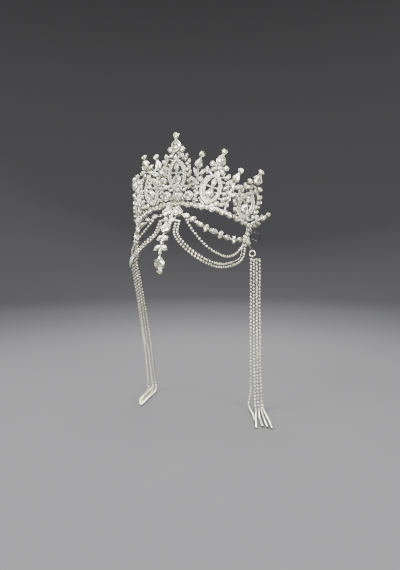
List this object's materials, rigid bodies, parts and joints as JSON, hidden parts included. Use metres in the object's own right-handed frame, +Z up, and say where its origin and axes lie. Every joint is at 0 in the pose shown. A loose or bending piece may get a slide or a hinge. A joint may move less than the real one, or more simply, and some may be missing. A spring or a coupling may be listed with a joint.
{
  "type": "bridal crown",
  "caption": "Silver bridal crown with pierced leaf panels, pear and marquise crystals, a forehead drop ornament, draped cup chains and side tassels.",
  "frame": {"origin": "middle of the open band where it sits on the wearer, level with the row of stones at its front", "axes": "+Z up as worn, -Y towards the front of the crown, +X towards the viewer's right"},
  "size_m": [0.1864, 0.1322, 0.2968],
  "materials": {
    "silver": "polished",
    "crystal": "faceted",
    "cup_chain": "stone set",
    "wire": "dark"
  },
  "bodies": {
    "crown": {"crown_frame": "silver", "centre_pear": "crystal", "centre_heart": "crystal", "centre_kite": "crystal", "centre_round": "crystal", "inner_spike_pear_right": "crystal", "inner_spike_pear_left": "crystal", "large_panel_pear_right": "crystal", "large_panel_pear_left": "crystal", "large_panel_heart_right": "crystal", "large_panel_heart_left": "crystal", "outer_spike_pear_right": "crystal", "outer_spike_pear_left": "crystal", "side_panel_pear_right": "crystal", "side_panel_pear_left": "crystal", "side_panel_heart_right": "crystal", "side_panel_heart_left": "crystal", "end_spike_pear_right": "crystal", "end_spike_pear_left": "crystal", "finial_rounds_right": "crystal", "finial_rounds_left": "crystal", "leaf_stones_centre": "crystal", "leaf_stones_right": "crystal", "leaf_stones_left": "crystal", "round_stones_centre": "crystal", "round_stones_right": "crystal", "round_stones_left": "crystal", "base_row_right": "crystal", "base_row_left": "crystal", "brow_plate": "silver", "brow_pear_right": "crystal", "brow_pear_left": "crystal", "brow_oval": "crystal", "brow_cluster": "crystal", "trefoil_upper": "silver", "trefoil_lower": "silver", "trefoil_stones": "crystal", "brow_string_right": "silver", "brow_string_left": "silver", "brow_stones_right": "crystal", "brow_stones_left": "crystal", "junction_stones_right": "crystal", "junction_stones_left": "crystal", "drape_upper_right": "cup_chain", "drape_upper_left": "cup_chain", "drape_middle_right": "cup_chain", "drape_middle_left": "cup_chain", "drape_lower_right": "cup_chain", "drape_lower_left": "cup_chain", "tassel_link_right": "silver", "tassel_link_left": "silver", "tassel_right": "cup_chain", "tassel_left": "cup_chain", "tie_loop_right": "wire", "tie_loop_left": "wire"},
    "drop": {"drop_setting": "silver", "drop_stone": "crystal", "drop_round": "crystal"}
  },
  "joints": [
    {"name": "drop_swing", "type": "hinge", "parent": "crown", "child": "drop", "pos_m": [0, -0.1269, -0.0525], "axis": [-1, 0, 0], "range_deg": [-25, 60]}
  ]
}
